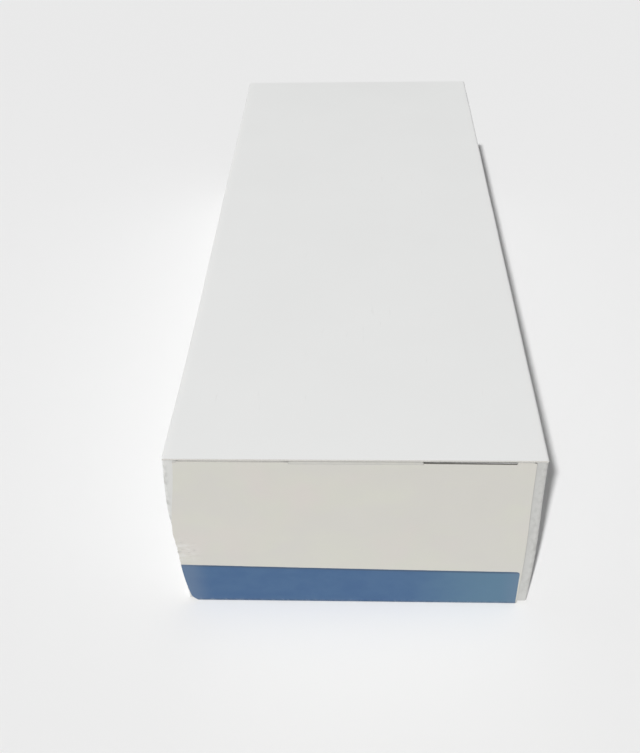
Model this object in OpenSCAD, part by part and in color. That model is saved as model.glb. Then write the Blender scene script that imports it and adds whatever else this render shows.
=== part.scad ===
// Straight-tuck carton of gymnastics chalk. A folded paperboard sleeve has a hinged
// closure with a tuck flap and two dust flaps at each end, and it is filled with two
// columns of pressed chalk blocks. Sizes are in millimetres. X runs across the carton,
// Y from the front end to the rear end and Z up, from the centre of the base.

/* [Chalk blocks] */
// Width of one block, across the carton
block_w = 43.2; // [34:0.1:60]
// Length of one block, along the carton
block_l = 56.2; // [40:0.1:75]
// Height of one block
block_h = 48.5; // [40:0.1:65]
// Bevel along every edge of a block
block_bevel = 1.4; // [0.4:0.1:4]

/* [Packing] */
// Gap beside each column of blocks
side_gap = 0.3; // [0.1:0.05:1]
// Gap between two blocks of a column
row_gap = 0.2; // [0.1:0.05:1]
// Gap between the end blocks and the dust flaps
end_gap = 0.6; // [0.3:0.05:2]
// Gap between the blocks and the tuck flaps
head_gap = 0.5; // [0.3:0.05:2]

/* [Paperboard] */
// Thickness of the board
board = 0.5; // [0.35:0.05:0.7]
// Clearance between a crease and the panel beside it
crease_gap = 0.1; // [0.05:0.01:0.2]
// Distance of the top panel's cut edges behind the closure's face
top_setback = 0.2; // [0:0.05:1]

/* [Closures] */
// Distance between the closure's left edge and the carton's side
closure_inset_left = 1.5; // [0.5:0.1:3]
// Distance between the closure's right edge and the carton's side
closure_inset_right = 2.8; // [0.5:0.1:3]
// Radius of the closure's corners beside its crease
foot_r = 2.6; // [0.5:0.1:8]
// Gap between a closure and the dust flaps behind it
flap_gap = 0.2; // [0.1:0.05:0.6]

/* [Tuck flaps] */
// Length of the tuck flap, from its fold to its free edge
tuck_l = 12; // [8:0.5:15]
// Radius of the tuck flap's free corners
tuck_r = 6; // [1:0.5:7]
// Distance between the tuck flap's ends and the carton's sides
tuck_inset = 6.7; // [4.5:0.1:12]
// Gap left over the tuck flap at the highest point of its way out
slide_clearance = 0.1; // [0.05:0.01:0.5]
// Length of the lock slit cut along each end of the fold
slit_l = 22; // [5:0.5:26]
// Width of the lock slits behind the closure's cut edge
slit_w = 0.5; // [0.4:0.05:1.5]
// How far the closure's cut edge sinks below the fold at the left slit
slit_drop_left = 0.1; // [0:0.05:1]
// How far the closure's cut edge sinks below the fold at the right slit
slit_drop_right = 0.5; // [0:0.05:1]

/* [Dust flaps] */
// Length of a dust flap, from its crease to its free edge
dust_l = 26; // [12:0.5:32]
// Slope of the dust flap's lower edge, in degrees
dust_foot_angle = 46; // [46:0.5:50]
// Width of the shoulder that keeps the dust flap's full height
dust_shoulder = 3; // [1:0.1:3.5]
// Height of the tuck flap above the dust flap's upper edge
dust_top_gap = 1.5; // [1:0.1:4]
// Radius of the dust flap's upper free corner
dust_r = 3; // [0.5:0.5:5]

/* [Glue flap] */
// Height of the glue flap inside the left side
glue_h = 15; // [8:0.5:25]
// Slope of the glue flap's ends, in degrees from upright
glue_angle = 20; // [5:1:45]
// Distance between the glue flap's foot and the dust flaps
glue_end_gap = 1; // [0.5:0.1:10]

/* [Hidden] */
$fn = 48;
columns = 2;
rows = 4;

// The sleeve fits round the blocks, the glue flap and the folded ends
inner_w = columns * block_w + (columns + 1) * side_gap + board;
outer_w = inner_w + 2 * board;
end_stack = board + flap_gap + board;
outer_d = rows * block_l + (rows - 1) * row_gap + 2 * end_gap + 2 * end_stack;

// The fold stands this far above the closure's crease. On its way out the tuck flap
// turns half as far as the closure, so its free edge first rises by seam_rise
fold_h = board + block_h + head_gap;
seam_rise = tuck_l * tuck_l / (8 * fold_h);
seam_gap = seam_rise + slide_clearance;
outer_h = fold_h + board + seam_gap + board;

// Planes of the front end, which the rear end mirrors
face_y = -outer_d / 2;
closure_y = face_y + board / 2;
dust_y = face_y + board + flap_gap + board / 2;
dust_x = outer_w / 2 - board / 2;
side_y = dust_y + board / 2 + crease_gap;
base_y = face_y + board + crease_gap;
tuck_z = board / 2 + fold_h;

// Outline of a closure and its fold
closure_x0 = -outer_w / 2 + closure_inset_left;
closure_x1 = outer_w / 2 - closure_inset_right;
tuck_half = outer_w / 2 - tuck_inset;
fold_half = tuck_half - slit_l;
// The closure stops this far below the middle of the fold, so that the tuck flap
// has room to fold in by half a right angle
fold_room = board / 2 * (1 + sqrt(2)) + crease_gap / 2;

// Slope at which a dust flap's upper edge stays under the tuck flap while both swing out
dust_top_slope = pow(tuck_l / (fold_h - dust_l), 2) / 2;

BLOCKS = [for (i = [1:columns * rows]) str("chalk_block_", i)];

// Puts a piece of the front end (0) at the rear end (1)
module at_end(rear) {
    mirror([0, rear, 0]) children();
}

// Stands an outline drawn in X and Z upright, centred on a plane across Y
module upright(y, thickness) {
    translate([0, y + thickness / 2, 0]) rotate([90, 0, 0]) linear_extrude(thickness) children();
}

// A half-round crease between two points on X, or upright between two heights
module crease_x(x0, x1, y, z) {
    translate([x0, y, z]) rotate([0, 90, 0]) cylinder(h = x1 - x0, r = board / 2);
}

module crease_z(x, y, z0, z1) {
    translate([x, y, z0]) cylinder(h = z1 - z0, r = board / 2);
}

// Section of the top panel: flat inside, with its outer corners creased round
module panel_section() {
    translate([-inner_w / 2, 0]) square([inner_w, board]);
    for (side = [0, 1]) {
        mirror([side, 0]) translate([inner_w / 2, 0]) intersection() {
            circle(r = board);
            square(board);
        }
    }
}

// A panel along the carton, drawn as a section in X and Z
module along(y0, y1) {
    translate([0, y1, 0]) rotate([90, 0, 0]) linear_extrude(y1 - y0) children();
}

module top_panel() {
    color("whitesmoke")
        translate([0, 0, outer_h - board])
            along(face_y + top_setback, -face_y - top_setback) panel_section();
}

module bottom_panel() {
    color("whitesmoke")
        translate([0, 0, board])
            mirror([0, 0, 1]) along(base_y, -base_y) panel_section();
}

// A side stands on the bottom panel's edge and carries the top panel's (right is 1)
module side_panel(right) {
    color("gainsboro")
        mirror([1 - right, 0, 0])
            translate([outer_w / 2 - board, side_y, board])
                cube([board, -2 * side_y, outer_h - 2 * board]);
}

// The strip that rises from the bottom panel and is glued inside the left side
module glue_flap() {
    foot_y = -side_y - glue_end_gap;
    head_y = foot_y - glue_h * tan(glue_angle);
    color("lightgrey")
        translate([-inner_w / 2, 0, board])
            rotate([90, 0, 90]) linear_extrude(board)
                polygon([[-foot_y, 0], [foot_y, 0], [head_y, glue_h], [-head_y, glue_h]]);
}

// Outline of a closure in X and Z: rounded beside its crease, with a notch between
// the lock slits that leaves room for the fold
module closure_outline() {
    crease_z0 = board / 2;
    notch_z = tuck_z - fold_room;
    ear_z = tuck_z + board / 2;
    width = closure_x1 - closure_x0;
    translate([closure_x0, crease_z0 + foot_r]) square([width, notch_z - crease_z0 - foot_r]);
    translate([closure_x0 + foot_r, crease_z0]) square([width - 2 * foot_r, notch_z - crease_z0]);
    for (x = [closure_x0 + foot_r, closure_x1 - foot_r]) {
        translate([x, crease_z0 + foot_r]) circle(r = foot_r);
    }
    translate([closure_x0, crease_z0 + foot_r])
        square([-fold_half - closure_x0, ear_z - slit_drop_left - crease_z0 - foot_r]);
    translate([fold_half, crease_z0 + foot_r])
        square([closure_x1 - fold_half, ear_z - slit_drop_right - crease_z0 - foot_r]);
}

module closure_panel(rear) {
    color("gainsboro") at_end(rear) {
        upright(closure_y, board) closure_outline();
        crease_x(closure_x0 + foot_r, closure_x1 - foot_r, closure_y, board / 2);
    }
}

// Outline of a tuck flap in X and Y, from the middle of its fold
module tuck_outline() {
    cut_y = board / 2 + slit_w;
    fold_x = fold_half - crease_gap;
    translate([-fold_x, 0]) square([2 * fold_x, tuck_l]);
    translate([-tuck_half, cut_y]) square([2 * tuck_half, tuck_l - tuck_r - cut_y]);
    translate([-tuck_half + tuck_r, cut_y]) square([2 * (tuck_half - tuck_r), tuck_l - cut_y]);
    for (side = [-1, 1]) {
        intersection() {
            translate([side * (tuck_half - tuck_r), tuck_l - tuck_r]) circle(r = tuck_r);
            translate([-tuck_half, cut_y]) square([2 * tuck_half, tuck_l]);
        }
    }
}

module tuck_flap(rear) {
    fold_x = fold_half - crease_gap;
    color("whitesmoke") at_end(rear) {
        translate([0, closure_y, tuck_z - board / 2]) linear_extrude(board) tuck_outline();
        crease_x(-fold_x, fold_x, closure_y, tuck_z);
    }
}

// Outline of a dust flap: X is the distance from its crease and Y the height
module dust_outline() {
    foot_z = board + 2 * crease_gap;
    head_z = outer_h - board - crease_gap;
    upper_z = tuck_z - board / 2 - dust_top_gap;
    end_foot_z = foot_z + dust_l * tan(dust_foot_angle);
    end_head_z = upper_z - dust_l * dust_top_slope;
    corner_z = end_head_z - dust_r * (1 - dust_top_slope);
    difference() {
        polygon([
            [0, foot_z], [dust_l, end_foot_z], [dust_l, end_head_z],
            [dust_shoulder, upper_z - dust_shoulder * dust_top_slope],
            [dust_shoulder, head_z], [0, head_z]
        ]);
        difference() {
            translate([dust_l - dust_r, corner_z]) square(2 * dust_r);
            translate([dust_l - dust_r, corner_z]) circle(r = dust_r);
        }
    }
}

module dust_flap(right, rear) {
    color("silver") at_end(rear) mirror([right, 0, 0]) translate([-dust_x, 0, 0]) {
        upright(dust_y, board) dust_outline();
        crease_z(0, dust_y, board + 2 * crease_gap, outer_h - board - crease_gap);
    }
}

// A pressed block, bevelled all round. Counted along the left column, then the right
module chalk_block(i) {
    column = floor((i - 1) / rows);
    row = (i - 1) % rows;
    left_x = -inner_w / 2 + board + side_gap;
    front_y = face_y + end_stack + end_gap;
    size = [block_w, block_l, block_h];
    middle = [
        left_x + block_w / 2 + column * (block_w + side_gap),
        front_y + block_l / 2 + row * (block_l + row_gap),
        board + block_h / 2
    ];
    color("white") translate(middle) intersection() {
        bevelled_bar(size);
        rotate([90, 0, 0]) bevelled_bar([size[0], size[2], size[1]]);
        rotate([0, 90, 0]) bevelled_bar([size[2], size[1], size[0]]);
    }
}

// A bar along Z whose four upright edges are bevelled
module bevelled_bar(size) {
    w = size[0] / 2;
    l = size[1] / 2;
    b = block_bevel;
    translate([0, 0, -size[2] / 2]) linear_extrude(size[2])
        polygon([
            [w, l - b], [w - b, l], [b - w, l], [-w, l - b],
            [-w, b - l], [b - w, -l], [w - b, -l], [w, b - l]
        ]);
}

bottom_panel();
side_panel(0);  // left_side_panel
side_panel(1);  // right_side_panel
top_panel();
glue_flap();
closure_panel(0);  // front_closure_panel
tuck_flap(0);  // front_tuck_flap
dust_flap(0, 0);  // front_left_dust_flap
dust_flap(1, 0);  // front_right_dust_flap
closure_panel(1);  // rear_closure_panel
tuck_flap(1);  // rear_tuck_flap
dust_flap(0, 1);  // rear_left_dust_flap
dust_flap(1, 1);  // rear_right_dust_flap
for (i = [1:columns * rows]) {
    chalk_block(i);
}
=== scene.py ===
"""A printed paperboard carton of gymnastics chalk: a glued sleeve, eight pressed blocks, and at each end a
straight-tuck closure with two dust flaps. Metres; X across, Y from the front end to the rear, Z up."""

import bpy
import numpy as np
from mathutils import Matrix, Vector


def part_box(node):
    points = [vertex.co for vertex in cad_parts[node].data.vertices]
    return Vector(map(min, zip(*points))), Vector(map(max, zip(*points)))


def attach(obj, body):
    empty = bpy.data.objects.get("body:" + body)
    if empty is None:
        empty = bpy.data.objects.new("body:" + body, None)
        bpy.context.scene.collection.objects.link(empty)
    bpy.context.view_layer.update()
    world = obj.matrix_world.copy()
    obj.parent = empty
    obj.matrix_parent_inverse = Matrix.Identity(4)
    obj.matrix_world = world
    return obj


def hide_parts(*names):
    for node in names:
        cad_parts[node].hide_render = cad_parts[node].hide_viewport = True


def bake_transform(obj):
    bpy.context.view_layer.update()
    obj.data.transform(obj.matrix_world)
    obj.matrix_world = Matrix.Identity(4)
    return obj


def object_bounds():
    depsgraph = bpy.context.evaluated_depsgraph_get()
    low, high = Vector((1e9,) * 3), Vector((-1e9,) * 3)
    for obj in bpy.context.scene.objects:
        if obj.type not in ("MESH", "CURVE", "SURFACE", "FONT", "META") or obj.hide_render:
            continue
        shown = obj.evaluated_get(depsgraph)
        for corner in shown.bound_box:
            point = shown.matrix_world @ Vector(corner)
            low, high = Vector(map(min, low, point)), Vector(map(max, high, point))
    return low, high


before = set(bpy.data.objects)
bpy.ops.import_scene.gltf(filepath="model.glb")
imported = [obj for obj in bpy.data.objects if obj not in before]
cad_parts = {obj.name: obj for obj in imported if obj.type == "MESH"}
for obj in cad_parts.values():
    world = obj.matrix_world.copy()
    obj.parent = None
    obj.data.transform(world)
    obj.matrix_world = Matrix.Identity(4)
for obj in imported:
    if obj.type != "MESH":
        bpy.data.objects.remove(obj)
cad_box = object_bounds()

# ---------------------------------------------------------------- the sleeve
# One die-cut sheet of 0.5 mm white-lined paperboard, creased into a tube. Its glue flap rises inside the
# left side, whose lower edge is cut. Handling has left the sides a little swollen.
half_w, half_d, height = cad_box[1]
board = 0.0005
bend_r = 0.0005
wall_x = half_w - board / 2
roof_z = height - board / 2
floor_z = board / 2
glue_low, glue_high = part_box("glue_flap")
dust_low, dust_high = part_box("front_left_dust_flap")
dust_y = (dust_low.y + dust_high.y) / 2
closure_y = -half_d + board / 2
crease_strip = 0.001  # what each flap's own sheet takes of the sleeve, up to its crease
side_end = -dust_y - bend_r - crease_strip
base_end = -closure_y - bend_r - 1.5 * crease_strip
foot_height = 0.016
crease_steps = 6


def eased(value, low, high):
    """Smooth step: 0 below low, 1 above high, and t squared times (3 - 2 t) between them."""
    t = np.clip((value - low) / (high - low), 0, 1)
    return t * t * (3 - 2 * t)


def straight(start, stop, count):
    """Evenly spaced points from start up to, but without, stop."""
    t = np.arange(count)[:, None] / count
    return np.asarray(start) * (1 - t) + np.asarray(stop) * t


def crease(centre, first, last, radius=bend_r):
    """Points of a crease: centre plus the radius times the cosine and sine of each angle, in degrees."""
    turn = np.radians(first + (last - first) * np.arange(crease_steps) / crease_steps)
    return np.asarray(centre) + radius * np.stack((np.cos(turn), np.sin(turn)), 1)


def sprung(points):
    """Where handling leaves each point. A side swells by a bell curve of its height, more near the front.
    The front left foot is pressed in. The roof crowns by one minus powers of the place across and along."""
    x, y, z = (points[..., i] for i in range(3))
    left_belly, right_belly = 0.0335, 0.018
    front = np.exp(-((y + half_d) / 0.030) ** 2)
    left_spread = np.where(z > left_belly, 0.021, 0.011)
    left = (0.00025 + 0.0012 * front) * np.exp(-((z - left_belly) / left_spread) ** 2)
    right = (0.0003 + 0.0003 * front) * np.exp(-((z - right_belly) / 0.018) ** 2)
    pressed = np.exp(-((y + half_d - 0.001) / 0.0018) ** 2)
    foot = 0.0008 * np.clip(1 - z / foot_height, 0, 1) ** 2 * pressed
    crown = 0.0003 * (1 - (x / half_w) ** 2) * (1 - (y / half_d) ** 6) * (z > roof_z - 0.0002)
    ripple = 0.00005 * np.sin(78 * y + 41 * z + 1.1) * np.sin(61 * y + 0.4)
    side_from, side_full = 0.030, 0.0436
    on_left, on_right = (eased(across, side_from, side_full) for across in (-x, x))
    moved = points.copy()
    moved[..., 0] += on_left * (foot - left + ripple) + on_right * (right + ripple)
    moved[..., 2] += crown
    return moved


def board_piece(name, points, fold, faces_kept=None, turned=False):
    """A sheet of board from a grid of points on its middle plane. Each face looks along the column step
    crossed with the row step, or the other way if turned. Solidify adds both skins and a cut rim."""
    rows, columns = points.shape[:2]
    index = np.arange(rows * columns).reshape(rows, columns)
    squares = np.stack((index[:-1, :-1], index[:-1, 1:], index[1:, 1:], index[1:, :-1]), -1)
    squares = squares.reshape(-1, 4) if faces_kept is None else squares[faces_kept]
    squares = squares[:, ::-1] if turned else squares
    used, squares = np.unique(squares, return_inverse=True)
    places = points.reshape(-1, 3)[used]
    mesh = bpy.data.meshes.new(name)
    mesh.from_pydata(places.tolist(), [], squares.reshape(-1, 4).tolist())
    mesh.attributes.new("at_rest", "FLOAT_VECTOR", "POINT").data.foreach_set("vector", places.ravel())
    mesh.attributes.new("fold", "FLOAT", "POINT").data.foreach_set("value", np.ravel(fold)[used])
    mesh.polygons.foreach_set("use_smooth", np.ones(len(mesh.polygons), bool))
    edges = np.empty(len(mesh.loops), np.int32)
    mesh.loops.foreach_get("edge_index", edges)
    mesh.edges.foreach_set("use_edge_sharp", np.bincount(edges, minlength=len(mesh.edges)) == 1)
    piece = bpy.data.objects.new(name, mesh)
    bpy.context.scene.collection.objects.link(piece)
    skins = piece.modifiers.new("board", "SOLIDIFY")
    skins.thickness = board
    skins.offset = 0
    skins.use_even_offset = True
    skins.material_offset = 1
    skins.material_offset_rim = 2
    return piece


def add_node(tree, kind, inputs=(), **settings):
    """A node with its settings, whose inputs are values or the sockets that feed them."""
    made = tree.nodes.new(kind)
    for key, value in settings.items():
        setattr(made, key, value)
    for key, value in dict(inputs).items():
        if isinstance(value, bpy.types.NodeSocket):
            tree.links.new(value, made.inputs[key])
        else:
            made.inputs[key].default_value = value
    return made


def reckon(tree, operation, *values):
    """One sum on numbers, as a Math node."""
    return add_node(tree, "ShaderNodeMath", enumerate(values), operation=operation).outputs[0]


def mixed(tree, mask, first, second, how="MIX"):
    """The first colour, and the second one where the mask is 1."""
    inputs = {0: mask, 6: first, 7: second}
    return add_node(tree, "ShaderNodeMix", inputs, data_type="RGBA", blend_type=how).outputs[2]


def spread(tree, value, low, high, to_low=0.0, to_high=1.0):
    """A smooth ramp of a number from low to high."""
    inputs = {0: value, 1: low, 2: high, 3: to_low, 4: to_high}
    return add_node(tree, "ShaderNodeMapRange", inputs, interpolation_type="SMOOTHSTEP").outputs[0]


def speckle(tree, place, size, detail=2.0, stretch=(1, 1, 1), seed=0.0):
    """Noise from 0 to 1 with grains about size metres across, drawn out along each axis by its stretch."""
    scale = [1 / (size * drawn_out) for drawn_out in stretch]
    shift = {"Vector": place, "Location": (seed,) * 3, "Scale": scale}
    shifted = add_node(tree, "ShaderNodeMapping", shift).outputs[0]
    inputs = {"Vector": shifted, "Scale": 1.0, "Detail": detail, "Roughness": 0.6}
    return add_node(tree, "ShaderNodeTexNoise", inputs).outputs["Fac"]


def effect(name, inputs, outputs):
    """An empty node group with named inputs and outputs: the tree, its input node and its output node."""
    tree = bpy.data.node_groups.new(name, "ShaderNodeTree")
    for side, sockets in (("INPUT", inputs), ("OUTPUT", outputs)):
        for label, kind in sockets.items():
            tree.interface.new_socket(name=label, in_out=side, socket_type="NodeSocket" + kind)
    return tree, tree.nodes.new("NodeGroupInput"), tree.nodes.new("NodeGroupOutput")


def placed(tree, group, **inputs):
    """A node group placed in a material, with its own values."""
    made = tree.nodes.new("ShaderNodeGroup")
    made.node_tree = group
    for key, value in inputs.items():
        socket = made.inputs[key.replace("_", " ")]
        if isinstance(value, bpy.types.NodeSocket):
            tree.links.new(value, socket)
        else:
            socket.default_value = value
    return made.outputs


# Grain of the board: fibres that lie along the carton, a fine tooth, a slow cloudy tone and rubbed streaks.
grain, given, made = effect(
    "board grain",
    {"Place": "Vector", "Contrast": "Float"},
    {"Tone": "Float", "Height": "Float", "Scuff": "Float"},
)
fibre = speckle(grain, given.outputs["Place"], 0.00018, 3.0, (1, 6, 1))
tooth = speckle(grain, given.outputs["Place"], 0.00022, 2.0, seed=3.1)
cloud = speckle(grain, given.outputs["Place"], 0.026, 3.0, seed=7.7)
streak = speckle(grain, given.outputs["Place"], 0.0011, 4.0, (1, 9, 1), seed=1.9)
uneven = reckon(grain, "MULTIPLY_ADD", fibre, 0.45, reckon(grain, "MULTIPLY_ADD", tooth, 0.3, cloud))
middle_tone = 0.875  # the mean of the sum above, as each noise averages a half
off_middle = reckon(grain, "SUBTRACT", uneven, middle_tone)
tone = reckon(grain, "MULTIPLY_ADD", off_middle, given.outputs["Contrast"], 1.0)
rubbed = reckon(grain, "MULTIPLY", spread(grain, streak, 0.62, 0.74), spread(grain, cloud, 0.48, 0.66))
grain.links.new(tone, made.inputs["Tone"])
grain.links.new(reckon(grain, "MULTIPLY_ADD", fibre, 0.6, tooth), made.inputs["Height"])
grain.links.new(rubbed, made.inputs["Scuff"])

# Loose chalk: soft drifts broken up by fine crumbs, more of it as Amount rises.
powder, given, made = effect(
    "chalk powder",
    {"Place": "Vector", "Amount": "Float"},
    {"Mask": "Float", "Height": "Float"},
)
drift = speckle(powder, given.outputs["Place"], 0.012, 5.0, seed=5.3)
crumb = speckle(powder, given.outputs["Place"], 0.0006, 4.0, seed=2.2)
cover = reckon(powder, "ADD", reckon(powder, "MULTIPLY_ADD", crumb, 0.5, drift), given.outputs["Amount"])
mask = spread(powder, cover, 0.92, 1.42)
powder.links.new(mask, made.inputs["Mask"])
powder.links.new(reckon(powder, "MULTIPLY", mask, crumb), made.inputs["Height"])


def finish_of(name, specular=0.5):
    """A new material: its node tree, its Principled shader and the rest places of its surface."""
    material = bpy.data.materials.new(name)
    material.use_nodes = True
    tree = material.node_tree
    shader = tree.nodes["Principled BSDF"]
    shader.inputs["Specular IOR Level"].default_value = specular
    place = add_node(tree, "ShaderNodeAttribute", attribute_name="at_rest").outputs["Vector"]
    return material, tree, shader, place


def set_surface(tree, shader, colour, roughness, bump_height, strength, distance):
    """Feeds the shader its colour and roughness, and its normal from a bump height."""
    tree.links.new(colour, shader.inputs["Base Color"])
    tree.links.new(roughness, shader.inputs["Roughness"])
    inputs = {"Height": bump_height, "Strength": strength, "Distance": distance}
    bump = add_node(tree, "ShaderNodeBump", inputs)
    tree.links.new(bump.outputs[0], shader.inputs["Normal"])


def worn_fold(tree, place):
    """Where the coating has cracked along a fold: the fold attribute broken up by noise."""
    fold = add_node(tree, "ShaderNodeAttribute", attribute_name="fold").outputs["Fac"]
    crack = speckle(tree, place, 0.0013, 3.0, (1, 3, 1.5), seed=4.4)
    return reckon(tree, "MULTIPLY", fold, spread(tree, crack, 0.38, 0.72))


def coated_board(name, face, rubbed_face, worn_face, wear=0.5, end_faces=None):
    """Clay-coated face of the board: an even tone with rubbed streaks and worn folds; on the end flaps the
    fold grey is partly painted shade. Past the folds at the carton's ends it may take two darker tones of
    painted shade, one at the left and one at the right."""
    material, tree, shader, place = finish_of(name, 0.35)
    marks = placed(tree, grain, Place=place, Contrast=0.035)
    if end_faces:
        at = add_node(tree, "ShaderNodeSeparateXYZ", {0: place}).outputs
        # Painted shade: the end flaps' faces take darker tones, darker still at the right.
        shaded_ends = mixed(tree, spread(tree, at[0], -wall_x, wall_x), *end_faces)
        past_fold = spread(tree, reckon(tree, "ABSOLUTE", at[1]), -dust_y - bend_r, -dust_y)
        face = mixed(tree, past_fold, face, shaded_ends)
    colour = mixed(tree, 1.0, face, marks["Tone"], "MULTIPLY")
    colour = mixed(tree, reckon(tree, "MULTIPLY", marks["Scuff"], 0.16), colour, rubbed_face)
    worn = worn_fold(tree, place)
    colour = mixed(tree, reckon(tree, "MULTIPLY", worn, wear), colour, worn_face)
    rough = reckon(tree, "MULTIPLY_ADD", marks["Scuff"], 0.2, reckon(tree, "MULTIPLY_ADD", worn, 0.2, 0.52))
    set_surface(tree, shader, colour, rough, marks["Height"], 0.25, 0.000012)
    return material


def bare_board():
    """Uncoated inner face: warm grey recycled fibre with dark flecks, dusted with chalk."""
    material, tree, shader, place = finish_of("bare_board", 0.2)
    warm_grey = (0.56, 0.545, 0.51, 1)
    fleck_brown = (0.27, 0.25, 0.22, 1)
    chalk_white = (0.83, 0.83, 0.82, 1)
    marks = placed(tree, grain, Place=place, Contrast=0.11)
    dust = placed(tree, powder, Place=place, Amount=0.28)
    fleck = spread(tree, speckle(tree, place, 0.0005, 3.0, (1, 3, 1), seed=9.2), 0.66, 0.74)
    colour = mixed(tree, 1.0, warm_grey, marks["Tone"], "MULTIPLY")
    colour = mixed(tree, reckon(tree, "MULTIPLY", fleck, 0.35), colour, fleck_brown)
    colour = mixed(tree, reckon(tree, "MULTIPLY", dust["Mask"], 0.6), colour, chalk_white)
    rough = reckon(tree, "MULTIPLY_ADD", dust["Mask"], 0.1, 0.82)
    raised = reckon(tree, "ADD", marks["Height"], dust["Height"])
    set_surface(tree, shader, colour, rough, raised, 0.5, 0.00002)
    return material


def cut_edge():
    """Die-cut edge: soft layered fibre. Along the open lock slit its edges carry painted shade, near black,
    for the dark gap.
    The painted shade fades past half its length either way from its middle, and past half its height above
    and below."""
    material, tree, shader, place = finish_of("cut_edge", 0.15)
    core_grey, edge_white = (0.47, 0.46, 0.43, 1), (0.62, 0.61, 0.58, 1)
    # Painted shade: a near-black colour for the cut edges at the right lock slit.
    slit_shade_black = (0.11, 0.105, 0.095, 1)
    slit_shade_x, slit_shade_half_length = 0.0264, 0.0106
    slit_shade_z, slit_shade_half_height = 0.0495, 0.0005
    marks = placed(tree, grain, Place=place, Contrast=0.16)
    layers = speckle(tree, place, 0.00009, 2.0, (1, 14, 1), seed=6.1)
    colour = mixed(tree, layers, core_grey, edge_white)
    colour = mixed(tree, 1.0, colour, marks["Tone"], "MULTIPLY")
    at = add_node(tree, "ShaderNodeSeparateXYZ", {0: place}).outputs
    off_x = reckon(tree, "ABSOLUTE", reckon(tree, "SUBTRACT", at[0], slit_shade_x))
    off_z = reckon(tree, "ABSOLUTE", reckon(tree, "SUBTRACT", at[2], slit_shade_z))
    in_length = spread(tree, off_x, slit_shade_half_length, slit_shade_half_length + 0.0003, 0.9, 0.0)
    in_height = spread(tree, off_z, slit_shade_half_height, slit_shade_half_height + 0.0001, 1.0, 0.0)
    # The slit's painted shade is mixed in here over the cut edges.
    colour = mixed(tree, reckon(tree, "MULTIPLY", in_length, in_height), colour, slit_shade_black)
    rough = spread(tree, layers, 0.0, 1.0, 0.85, 0.98)
    set_surface(tree, shader, colour, rough, reckon(tree, "ADD", layers, marks["Height"]), 0.6, 0.00003)
    return material


white = (0.838, 0.843, 0.836, 1)
rubbed_white = (0.59, 0.59, 0.58, 1)
worn_white = (0.85, 0.845, 0.825, 1)
white_board = coated_board("coated_board", white, rubbed_white, worn_white)
board_skins = [white_board, bare_board(), cut_edge()]

# The profile starts at the glue flap's free edge and ends at the left side's. Between its two nicks the
# base runs on to the closure's crease, and outside them it stops short of the dust flaps.
glue_x = glue_low.x + board / 2
glue_steps = 14
glue_nose = 0.1067
base_left, base_right = -0.0409, 0.0417
nick = 0.00003
cut_z = 0.0001
profile = np.vstack([
    straight((glue_x, glue_high.z), (glue_x, floor_z + bend_r), glue_steps),
    crease((glue_x + bend_r, floor_z + bend_r), 180, 270),
    straight((glue_x + bend_r, floor_z), (base_left, floor_z), 3),
    straight((base_left, floor_z), (base_left + nick, floor_z), 1),
    straight((base_left + nick, floor_z), (base_right - nick, floor_z), 40),
    straight((base_right - nick, floor_z), (base_right, floor_z), 1),
    straight((base_right, floor_z), (wall_x - bend_r, floor_z), 3),
    crease((wall_x - bend_r, floor_z + bend_r), 270, 360),
    straight((wall_x, floor_z + bend_r), (wall_x, roof_z - bend_r), 34),
    crease((wall_x - bend_r, roof_z - bend_r), 0, 90),
    straight((wall_x - bend_r, roof_z), (bend_r - wall_x, roof_z), 48),
    crease((bend_r - wall_x, roof_z - bend_r), 90, 180),
    straight((-wall_x, roof_z - bend_r), (-wall_x, cut_z), 40),
    [(-wall_x, cut_z)],
])
path_x, path_z = profile.T
is_glue = np.arange(len(profile)) < glue_steps + crease_steps
is_base = ~is_glue & (path_z < floor_z + 0.9 * bend_r)
is_roof = path_z > dust_high.z
glue_end = glue_high.y - (path_z - board) * (glue_high.y - glue_nose) / (glue_high.z - board)
inner_base = (path_x > base_left + nick / 2) & (path_x < base_right - nick / 2)
base_stop = np.where(inner_base, base_end, -dust_y - board / 2 - 0.0001)
roof_end = half_d - 0.00002
ends = np.select([is_glue, is_base, is_roof], [glue_end, base_stop, roof_end], side_end)
stations = ends[:, None] * np.sin(np.linspace(-np.pi / 2, np.pi / 2, 65))
sleeve_points = np.stack(np.broadcast_arrays(path_x[:, None], stations, path_z[:, None]), -1)
corner_x = np.minimum(np.abs(np.abs(path_x) - wall_x), np.abs(np.abs(path_x) + glue_x))
corner_z = np.minimum(np.abs(path_z - floor_z), np.abs(path_z - roof_z))
near_corner = np.exp(-(np.hypot(corner_x, corner_z) / 0.0007) ** 2)
sleeve_fold = np.broadcast_to(near_corner[:, None], sleeve_points.shape[:2])

sleeve = board_piece("sleeve", sprung(sleeve_points), sleeve_fold)
for skin in board_skins:
    sleeve.data.materials.append(skin)
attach(sleeve, "carton")
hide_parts("bottom_panel", "left_side_panel", "right_side_panel", "top_panel", "glue_flap")

# ---------------------------------------------------------- the chalk blocks
# Two columns of four blocks of magnesium carbonate, pressed and dried. They slide in from either end and
# lie loose in the sleeve. Their arrises have crumbled, and their faces are pitted and powdery.
edge_r = 0.0013
block_steps = 45
wave_count, lump_count = 26, 10
arris_reach, chip_depth, dent_depth = 0.0018, 0.0018, 0.00009


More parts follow.
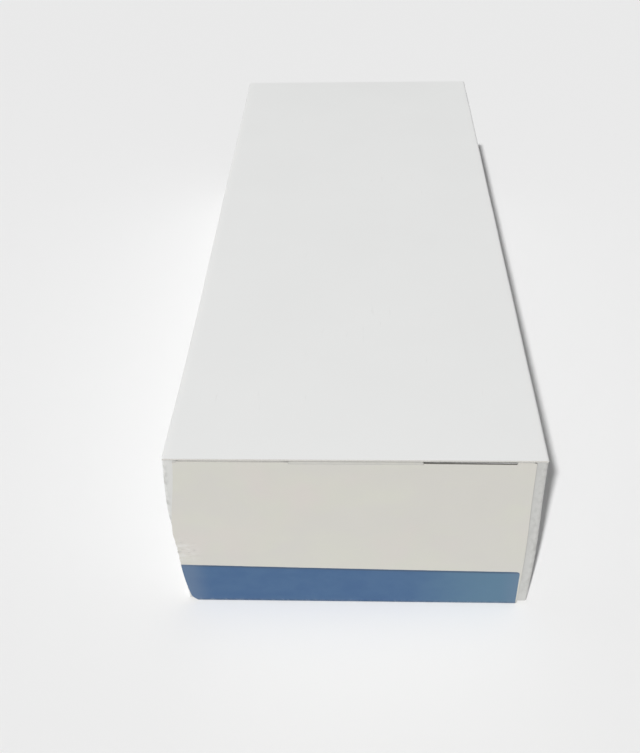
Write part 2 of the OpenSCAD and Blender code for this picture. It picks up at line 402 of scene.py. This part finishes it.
def crumbled_block(name, low, high, draw):
    """A box on a cube grid. Each point goes to the nearest place on an inner box, plus the edge radius
    outwards. Summed sine waves of its place then cut chips along the arrises and dents in the faces."""
    middle, half = (high + low) / 2, (high - low) / 2
    step = np.sin(np.linspace(-np.pi / 2, np.pi / 2, block_steps))
    u, v = np.meshgrid(step, step, indexing="ij")
    sheets = []
    for axis in range(3):
        for sign in (-1, 1):
            sheet = np.empty((block_steps, block_steps, 3))
            sheet[..., axis] = sign
            sheet[..., (axis + 1) % 3] = u
            sheet[..., (axis + 2) % 3] = v * sign
            sheets.append(sheet.reshape(-1, 3))
    cube, same = np.unique(np.round(np.vstack(sheets), 9), axis=0, return_inverse=True)
    index = np.arange(6 * block_steps**2).reshape(6, block_steps, block_steps)
    squares = np.stack((index[:, :-1, :-1], index[:, 1:, :-1], index[:, 1:, 1:], index[:, :-1, 1:]), -1)
    squares = same.ravel()[squares.reshape(-1, 4)]
    outer = cube * half
    inner = np.clip(outer, edge_r - half, half - edge_r)
    away = outer - inner
    away /= np.linalg.norm(away, axis=1, keepdims=True)
    waves = draw.normal(size=(wave_count, 3)) * draw.uniform(250, 1700, (wave_count, 1))
    rough = np.sin(outer @ waves.T + draw.uniform(0, 2 * np.pi, wave_count))
    lumps, chips = rough[:, :lump_count].mean(1), rough.mean(1)
    depth = np.sort(half - np.abs(outer), axis=1)[:, 1]
    arris = np.exp(-(depth / arris_reach) ** 2)
    chipped = 0.0001 + chip_depth * np.clip(chips + 0.5 * lumps - 0.12, 0, 1)
    cut = arris * chipped + dent_depth * np.clip(lumps, 0, 1)
    places = middle + inner + away * (edge_r - cut[:, None])
    mesh = bpy.data.meshes.new(name)
    mesh.from_pydata(places.tolist(), [], squares.tolist())
    mesh.polygons.foreach_set("use_smooth", np.ones(len(mesh.polygons), bool))
    mesh.attributes.new("at_rest", "FLOAT_VECTOR", "POINT").data.foreach_set("vector", places.ravel())
    mesh.attributes.new("arris", "FLOAT", "POINT").data.foreach_set("value", arris)
    block = bpy.data.objects.new(name, mesh)
    bpy.context.scene.collection.objects.link(block)
    return block


def pressed_chalk():
    """Dense dry chalk: matt white and faintly cloudy, with grey pits, paler arrises and loose powder."""
    material, tree, shader, place = finish_of("pressed_chalk", 0.12)
    chalk_grey, chalk_white = (0.71, 0.71, 0.695, 1), (0.78, 0.78, 0.77, 1)
    pit_grey = (0.53, 0.525, 0.51, 1)
    crumb_white, powder_white = (0.80, 0.80, 0.795, 1), (0.82, 0.82, 0.82, 1)
    dust = placed(tree, powder, Place=place, Amount=0.34)
    cloudy = speckle(tree, place, 0.012, 4.0, seed=8.8)
    pit = spread(tree, speckle(tree, place, 0.0006, 3.0, seed=12.4), 0.60, 0.72)
    arris_mask = add_node(tree, "ShaderNodeAttribute", attribute_name="arris").outputs["Fac"]
    colour = mixed(tree, spread(tree, cloudy, 0.3, 0.7), chalk_grey, chalk_white)
    colour = mixed(tree, reckon(tree, "MULTIPLY", pit, 0.4), colour, pit_grey)
    colour = mixed(tree, reckon(tree, "MULTIPLY", arris_mask, 0.5), colour, crumb_white)
    colour = mixed(tree, reckon(tree, "MULTIPLY", dust["Mask"], 0.6), colour, powder_white)
    rough = spread(tree, cloudy, 0.0, 1.0, 0.9, 1.0)
    raised = reckon(tree, "SUBTRACT", reckon(tree, "ADD", dust["Height"], cloudy), pit)
    set_surface(tree, shader, colour, rough, raised, 0.6, 0.00012)
    return material


chalk = pressed_chalk()
draw = np.random.default_rng(23)
for number in range(1, 9):
    node = f"chalk_block_{number}"
    low, high = (np.array(corner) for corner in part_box(node))
    block = crumbled_block(f"pressed_block_{number}", low, high, draw)
    block.data.materials.append(chalk)
    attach(block, "carton")
    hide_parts(node)

# ------------------------------------------------------------- the dust flaps
# Four flaps of the same sheet, each joined to a side by an upright crease and folded in first. The lower
# edge slopes up from the foot, a shoulder keeps the full height beside the crease, and one corner is round.
dust_reach = half_w - board / 2 + dust_high.x
shoulder = 0.003
dust_corner = 0.003
foot_slope = np.tan(np.radians(46))
head_slope = 0.1304
tuck_low, tuck_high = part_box("front_tuck_flap")
head_z = tuck_low.z - 0.0015
dust_centre = (bend_r - wall_x, dust_y + bend_r)
dust_path = np.vstack([
    straight((-wall_x, -side_end), (-wall_x, dust_y + bend_r), 3),
    crease(dust_centre, 180, 270),
    straight((bend_r - wall_x, dust_y), (shoulder - wall_x, dust_y), 25),
    straight((shoulder - wall_x, dust_y), (shoulder + nick - wall_x, dust_y), 1),
    straight((shoulder + nick - wall_x, dust_y), (dust_reach - dust_corner - wall_x, dust_y), 18),
    straight((dust_reach - dust_corner - wall_x, dust_y), (dust_reach - wall_x, dust_y), 9),
    [(dust_reach - wall_x, dust_y)],
])
reach = dust_path[:, 0] + wall_x
rounding = np.clip(reach - dust_reach + dust_corner, 0, dust_corner)
dust_head = head_z - reach * head_slope - dust_corner + np.sqrt(dust_corner**2 - rounding**2)
dust_head = np.where(reach < shoulder + nick / 2, dust_high.z, dust_head)
down = np.linspace(0, 1, 31)
heels = {"left": 0.0008, "right": 0.0032}
# At the right the fold mark reaches wider, as painted shade.
fold_wear_and_shade_widths = {"left": 0.0006, "right": 0.0020}


def dust_grid(heel):
    """Columns follow the path. Each runs down from the head to the sloping foot, which stays level as far
    as the heel."""
    foot = dust_low.z + np.where(reach > heel, reach, 0) * foot_slope
    z = dust_head[:, None] * (1 - down) + foot[:, None] * down
    x, y = (np.broadcast_to(dust_path[:, i, None], z.shape) for i in (0, 1))
    return np.stack((x, y, z), -1)


# Greys for rubbing and worn folds on the end flaps, darker than the sleeve's, partly as painted shade.
rubbed_and_shaded_grey, worn_and_shaded_grey = (0.42, 0.42, 0.41, 1), (0.37, 0.37, 0.355, 1)
# Painted shade: the end flaps' faces are greyer than the sleeve's white, and greyer still at the right.
left_end_shade, right_end_shade = (0.57, 0.57, 0.555, 1), (0.485, 0.485, 0.47, 1)
end_board = coated_board("flap_board", white, rubbed_and_shaded_grey, worn_and_shaded_grey, 0.6, (left_end_shade, right_end_shade))
# The fold mark fades with distance from a small square at the crease. It is crease wear and painted shade,
# and at the right it reaches wider as painted shade.
half_mark = 0.00015
beyond_x = np.maximum(np.abs(dust_path[:, 0] + wall_x - half_mark) - half_mark, 0)
beyond_y = np.maximum(np.abs(dust_path[:, 1] - dust_y - half_mark) - half_mark, 0)
beyond = np.hypot(beyond_x, beyond_y)
for end, end_sign in (("front", 1), ("rear", -1)):
    for side, side_sign in (("left", 1), ("right", -1)):
        placed_at = sprung(dust_grid(heels[side]) * (side_sign, end_sign, 1))
        dust_wear_and_shade = np.tile(np.exp(-(beyond / fold_wear_and_shade_widths[side]) ** 2)[:, None], len(down))
        flap = board_piece(
            f"{end}_{side}_dust_flap_board", placed_at, dust_wear_and_shade,
            turned=end_sign != side_sign,
        )
        for skin in (end_board, *board_skins[1:]):
            flap.data.materials.append(skin)
        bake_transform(flap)
        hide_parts(f"{end}_{side}_dust_flap")

# --------------------------------------------------------- the closure panels
# The outer flap of each end, creased to the bottom's edge and swung up over the dust flaps. It is printed
# with one plain blue band along its foot. Its top is cut into two ears, where the lock slits part it
# from the fold, and the right ear has sunk, so that its slit stands open.
closure_low, closure_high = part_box("front_closure_panel")
fold_half = 0.0156
ear_x = fold_half + 0.0001
slit_end = tuck_high.x - 0.0006
tuck_z = (tuck_low.z + tuck_high.z) / 2
fold_r = 0.0003
notch_z = tuck_z - fold_r
left_count, fold_count, right_count, corner_count = 17, 21, 13, 5
left_ear, raised_corner = 0.05, 0.05025
right_ear = np.linspace(0.0498, 0.04967, right_count)
bruise_low, bruise_high, ear_root = 0.012, 0.027, 0.048
print_top, print_tilt, print_edge = 0.01345, -0.0185, 0.0416
closure_path = np.vstack([
    straight((-base_end, floor_z), (closure_y + bend_r, floor_z), 3),
    crease((closure_y + bend_r, floor_z + bend_r), 270, 180),
    straight((closure_y, floor_z + bend_r), (closure_y, bruise_low), 18),
    straight((closure_y, bruise_low), (closure_y, bruise_high), 30),
    straight((closure_y, bruise_high), (closure_y, ear_root), 14),
    [(closure_y, ear_root)],
])
rise = np.linspace(0, 1, 5)[1:]
bruise_at = (-0.0438, closure_y, 0.0195)


def closure_grid(inset):
    """Columns run to the right edge from the left one, which keeps its inset and rounds off at the foot.
    Rows climb the path above, and the last ones spread to the heights of the ears and the notch."""
    path_y, path_z = closure_path.T
    foot = 0.00135 * np.clip(1 - path_z / foot_height, 0, 1) ** 2
    foot += 0.0019 * np.clip(1 - path_z / 0.0024, 0, 1) ** 2
    left = inset + foot - half_w
    columns = [
        left[:, None] + (-ear_x - left[:, None]) * np.linspace(0, 1, left_count),
        np.tile(np.linspace(-fold_half, fold_half, fold_count), (len(left), 1)),
        np.tile(np.linspace(ear_x, slit_end, right_count), (len(left), 1)),
        np.tile(np.linspace(slit_end + 0.0002, closure_high.x, corner_count), (len(left), 1)),
    ]
    x = np.hstack(columns)
    heads = np.concatenate([
        [left_ear] * left_count, [notch_z] * fold_count, right_ear, [raised_corner] * corner_count,
    ])
    heads[0] -= 0.0004  # the two outermost corners are rubbed down a little
    heads[-1] -= 0.0003
    y = np.broadcast_to(path_y[:, None], x.shape)
    z = np.broadcast_to(path_z[:, None], x.shape)
    top = path_z[-1] + (heads - path_z[-1]) * rise[:, None]
    x = np.vstack([x, np.tile(x[-1], (len(rise), 1))])
    y = np.vstack([y, np.tile(y[-1], (len(rise), 1))])
    z = np.vstack([z, top])
    bow = 0.00018 * np.sin(np.pi * np.clip(z / notch_z, 0, 1)) ** 2 * np.cos(0.5 * np.pi * x / half_w)
    return np.stack((x, y - bow, z), -1)


def printed_board():
    """The coated face of a closure: a warmer white, darker than the sleeve's as painted shade, bruised at
    its left edge, with a flat blue band inked along its foot. The ink lies thicker along its border, and is
    rubbed thin at both ends."""
    material, tree, shader, place = finish_of("printed_board", 0.35)
    # Painted shade: these face tones are set darker than the sleeve's white, for the shade on the carton's
    # end.
    shaded_cream, shaded_greenish = (0.53, 0.518, 0.482, 1), (0.535, 0.53, 0.478, 1)
    shaded_pinkish, rubbed_shaded_cream = (0.548, 0.512, 0.487, 1), (0.405, 0.40, 0.385, 1)
    fold_grey, crack_grey = (0.36, 0.355, 0.335, 1), (0.42, 0.415, 0.40, 1)
    bruise_pale, bruise_dull = (0.63, 0.63, 0.615, 1), (0.38, 0.38, 0.37, 1)
    deep_blue, even_blue = (0.039, 0.098, 0.210, 1), (0.048, 0.111, 0.220, 1)
    faded_blue, border_blue = (0.088, 0.175, 0.245, 1), (0.04, 0.072, 0.125, 1)
    rubbed_blue, cracked_blue = (0.125, 0.175, 0.255, 1), (0.28, 0.33, 0.40, 1)
    marks = placed(tree, grain, Place=place, Contrast=0.05)
    patch = speckle(tree, place, 0.016, 2.0, (1, 1, 0.6), seed=10.5)
    blush = speckle(tree, place, 0.021, 2.0, seed=14.5)
    colour = mixed(tree, spread(tree, patch, 0.35, 0.65), shaded_cream, shaded_greenish)
    colour = mixed(tree, spread(tree, blush, 0.5, 0.75, 0.0, 0.7), colour, shaded_pinkish)
    colour = mixed(tree, 1.0, colour, marks["Tone"], "MULTIPLY")
    colour = mixed(tree, reckon(tree, "MULTIPLY", marks["Scuff"], 0.2), colour, rubbed_shaded_cream)
    worn = worn_fold(tree, place)
    fold = add_node(tree, "ShaderNodeAttribute", attribute_name="fold").outputs["Fac"]
    colour = mixed(tree, reckon(tree, "MULTIPLY", fold, 0.6), colour, fold_grey)
    colour = mixed(tree, reckon(tree, "MULTIPLY", worn, 0.5), colour, crack_grey)
    from_bruise = add_node(tree, "ShaderNodeVectorMath", {0: place, 1: bruise_at}, operation="DISTANCE")
    near_bruise = spread(tree, from_bruise.outputs["Value"], 0.0012, 0.0062, 1.0, 0.0)
    crumple = speckle(tree, place, 0.0013, 3.0, (2.2, 1, 1), seed=20.0)
    pale = reckon(tree, "MULTIPLY", near_bruise, spread(tree, crumple, 0.42, 0.66, 0.0, 0.6))
    dull = reckon(tree, "MULTIPLY", near_bruise, spread(tree, crumple, 0.46, 0.34, 0.0, 0.6))
    colour = mixed(tree, pale, colour, bruise_pale)
    colour = mixed(tree, dull, colour, bruise_dull)
    at = add_node(tree, "ShaderNodeSeparateXYZ", {0: place}).outputs
    wobble = reckon(tree, "MULTIPLY_ADD", speckle(tree, place, 0.0016, 2.0, seed=16.0), 0.00012, -0.00006)
    over_top = reckon(tree, "SUBTRACT", at[2], reckon(tree, "MULTIPLY_ADD", at[0], print_tilt, print_top))
    over_top = reckon(tree, "ADD", over_top, wobble)
    over_end = reckon(tree, "SUBTRACT", reckon(tree, "ADD", at[0], wobble), print_edge)
    corner = 0.0009
    round_z = reckon(tree, "MAXIMUM", reckon(tree, "ADD", over_top, corner), 0.0)
    round_x = reckon(tree, "MAXIMUM", reckon(tree, "ADD", over_end, corner), 0.0)
    squared = reckon(tree, "MULTIPLY_ADD", round_z, round_z, reckon(tree, "MULTIPLY", round_x, round_x))
    over = reckon(tree, "SUBTRACT", reckon(tree, "SQRT", squared), corner)
    under = reckon(tree, "SUBTRACT", half_d - 0.0017, reckon(tree, "ABSOLUTE", at[1]))
    feather = 0.00005
    inside = spread(tree, over, -feather, feather, 1.0, 0.0)
    inked = reckon(tree, "MULTIPLY", inside, spread(tree, under, -feather, feather, 1.0, 0.0))
    ink_cloud = speckle(tree, place, 0.004, 4.0, (1.6, 1, 1), seed=18.0)
    ink = mixed(tree, spread(tree, ink_cloud, 0.3, 0.7), deep_blue, even_blue)
    faded = spread(tree, at[0], 0.008, 0.036, 0.0, 0.75)
    ink = mixed(tree, faded, ink, faded_blue)
    off_border = reckon(tree, "ABSOLUTE", reckon(tree, "ADD", over_top, 0.0003))
    border = spread(tree, off_border, 0.0001, 0.0006, 0.8, 0.0)
    foot_line = spread(tree, at[2], 0.0004, 0.0016, 0.55, 0.0)
    ink = mixed(tree, reckon(tree, "MAXIMUM", border, foot_line), ink, border_blue)
    ends = spread(tree, reckon(tree, "ABSOLUTE", at[0]), 0.0365, 0.0435, 0.0, 0.55)
    ink = mixed(tree, ends, ink, rubbed_blue)
    ink = mixed(tree, reckon(tree, "MULTIPLY", worn, 0.45), ink, cracked_blue)
    colour = mixed(tree, inked, colour, ink)
    rough = reckon(tree, "MULTIPLY_ADD", inked, -0.1, reckon(tree, "MULTIPLY_ADD", worn, 0.2, 0.54))
    set_surface(tree, shader, colour, rough, marks["Height"], 0.25, 0.000012)
    return material


printed_skins = [printed_board(), *board_skins[1:]]
# The front closure sits askew: low down its left edge reaches the side, and above it draws in. A bruise
# has rippled that edge.
up = closure_path[:, 1]
top_inset, drawn_from, drawn_over = 0.00255, 0.0255, 0.0245
slid = top_inset * np.sin(0.5 * np.pi * np.clip((up - drawn_from) / drawn_over, 0, 1))
slid += 0.00016 * np.exp(-(((up - bruise_at[2]) / 0.004) ** 2)) * np.sin(3900 * up) * np.sin(1700 * up + 1)
centred = np.full(len(closure_path), closure_low.x + half_w)
for end, end_sign, inset in (("front", 1, slid), ("rear", -1, centred)):
    closure_points = closure_grid(inset)
    from_crease = np.hypot(closure_points[..., 1] - closure_y, closure_points[..., 2] - floor_z)
    closure_fold = np.exp(-(from_crease / 0.0008) ** 2)
    panel = board_piece(
        f"{end}_closure_board", sprung(closure_points * (1, end_sign, 1)), closure_fold,
        turned=end_sign < 0,
    )
    for skin in printed_skins:
        panel.data.materials.append(skin)
    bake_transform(panel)
    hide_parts(f"{end}_closure_panel")

# ------------------------------------------------------------- the tuck flaps
# The closure's end, folded back between the lock slits and slid in under the roof, over the dust flaps.
# Beyond the slits it widens, and its free corners are round so that they find their way in.
tuck_half = tuck_high.x
tuck_corner = 0.006
cut_back = closure_y + board / 2 + board
tuck_path = np.vstack([
    crease((closure_y + fold_r, notch_z), 180, 90, radius=fold_r),
    straight((closure_y + fold_r, tuck_z), (cut_back, tuck_z), 2),
    straight((cut_back, tuck_z), (tuck_high.y - tuck_corner, tuck_z), 8),
    straight((tuck_high.y - tuck_corner, tuck_z), (tuck_high.y - 0.0008, tuck_z), 10),
    straight((tuck_high.y - 0.0008, tuck_z), (tuck_high.y, tuck_z), 4),
    [(tuck_high.y, tuck_z)],
])
tuck_columns = np.concatenate([
    np.linspace(-tuck_half, -fold_half, 14)[:-1],
    np.linspace(-fold_half, fold_half, fold_count),
    np.linspace(fold_half, tuck_half, 14)[1:],
])
past = np.clip(tuck_path[:, 0] - tuck_high.y + tuck_corner, 0, tuck_corner)
narrowed = 1 - (tuck_corner - np.sqrt(tuck_corner**2 - past**2)) / tuck_half
tuck_x = narrowed[:, None] * tuck_columns
tuck_points = np.stack(np.broadcast_arrays(tuck_x, tuck_path[:, :1], tuck_path[:, 1:]), -1)
narrow_row = tuck_path[:-1, 0] < cut_back - 1e-6
inside_fold = (tuck_columns[:-1] > -fold_half - 1e-6) & (tuck_columns[1:] < fold_half + 1e-6)
tuck_kept = ~narrow_row[:, None] | inside_fold
off_fold = np.hypot(tuck_points[..., 1] - closure_y, tuck_points[..., 2] - tuck_z)
tuck_fold = np.exp(-(off_fold / 0.0008) ** 2)
for end, end_sign in (("front", 1), ("rear", -1)):
    tuck = board_piece(
        f"{end}_tuck_flap_board", tuck_points * (1, end_sign, 1), tuck_fold,
        faces_kept=tuck_kept, turned=end_sign < 0,
    )
    for skin in printed_skins:
        tuck.data.materials.append(skin)
    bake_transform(tuck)
    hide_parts(f"{end}_tuck_flap")

# ------------------------------------------------------------ floor and light
# A plain pale table under one hard lamp from the front left, with soft light from above all round.
table_half = 3.0
table = bpy.data.meshes.new("floor")
lattice = np.linspace(-table_half, table_half, 3)
table_x, table_y = np.meshgrid(lattice, lattice, indexing="ij")
table_points = np.stack((table_x, table_y, np.zeros((3, 3))), -1).reshape(-1, 3)
cell = np.arange(9).reshape(3, 3)
table_faces = np.stack((cell[:-1, :-1], cell[1:, :-1], cell[1:, 1:], cell[:-1, 1:]), -1).reshape(-1, 4)
table.from_pydata(table_points.tolist(), [], table_faces.tolist())
floor = bpy.data.objects.new("floor", table)
bpy.context.scene.collection.objects.link(floor)
paint = bpy.data.materials.new("pale_floor")
paint.use_nodes = True
paint_inputs = paint.node_tree.nodes["Principled BSDF"].inputs
paint_inputs["Base Color"].default_value = (0.862, 0.862, 0.862, 1)
paint_inputs["Roughness"].default_value = 1.0
paint_inputs["Specular IOR Level"].default_value = 0.0
table.materials.append(paint)

sky = bpy.data.worlds.new("studio")
bpy.context.scene.world = sky
sky.use_nodes = True
sky_tree = sky.node_tree
direction = add_node(sky_tree, "ShaderNodeTexCoord").outputs["Generated"]
upward = add_node(sky_tree, "ShaderNodeSeparateXYZ", {0: direction}).outputs[2]
soft_light = spread(sky_tree, upward, 0.0, 1.0, 0.02, 0.31)
backdrop = 0.887
seen = add_node(sky_tree, "ShaderNodeLightPath").outputs["Is Camera Ray"]
brighter = reckon(sky_tree, "SUBTRACT", backdrop, soft_light)
level = reckon(sky_tree, "MULTIPLY_ADD", seen, brighter, soft_light)
sky_tree.links.new(level, sky_tree.nodes["Background"].inputs["Strength"])
sky_tree.nodes["Background"].inputs["Color"].default_value = (1, 1, 1, 1)

lamp = bpy.data.lights.new("key", "SUN")
lamp.energy = 3.26
lamp.angle = 0.035
key = bpy.data.objects.new("key", lamp)
bpy.context.scene.collection.objects.link(key)
travel = Vector((0.0162, 0.0495, -0.051))
key.rotation_euler = travel.to_track_quat("-Z", "Y").to_euler()

# ------------------------------------------------------------------ the camera
# It looks down over the front end, a little from the left and slightly rolled.
azimuth, elevation, roll = np.radians((2.687, 38.079, -1.501))
distance, shift_right, shift_up = 0.32980, -0.01306, -0.03109
level_ahead = np.array((-np.sin(azimuth), np.cos(azimuth), 0))
ahead = np.cos(elevation) * level_ahead - np.sin(elevation) * np.array((0, 0, 1))
level_right = np.array((np.cos(azimuth), np.sin(azimuth), 0))
level_up = np.cross(level_right, ahead)
rolled_right = np.cos(roll) * level_right + np.sin(roll) * level_up
rolled_up = np.cos(roll) * level_up - np.sin(roll) * level_right
stand = -ahead * distance + shift_right * level_right + shift_up * level_up + (0, 0, height / 2)
optics = bpy.data.cameras.new("camera")
optics.lens = 46.575
optics.sensor_width = 36
optics.clip_start = 0.01
camera = bpy.data.objects.new("camera", optics)
bpy.context.scene.collection.objects.link(camera)
placing = np.eye(4)
placing[:3] = np.stack((rolled_right, rolled_up, -ahead, stand), 1)
camera.matrix_world = Matrix(placing.tolist())
bpy.context.scene.camera = camera
bpy.context.scene.view_settings.view_transform = "Standard"
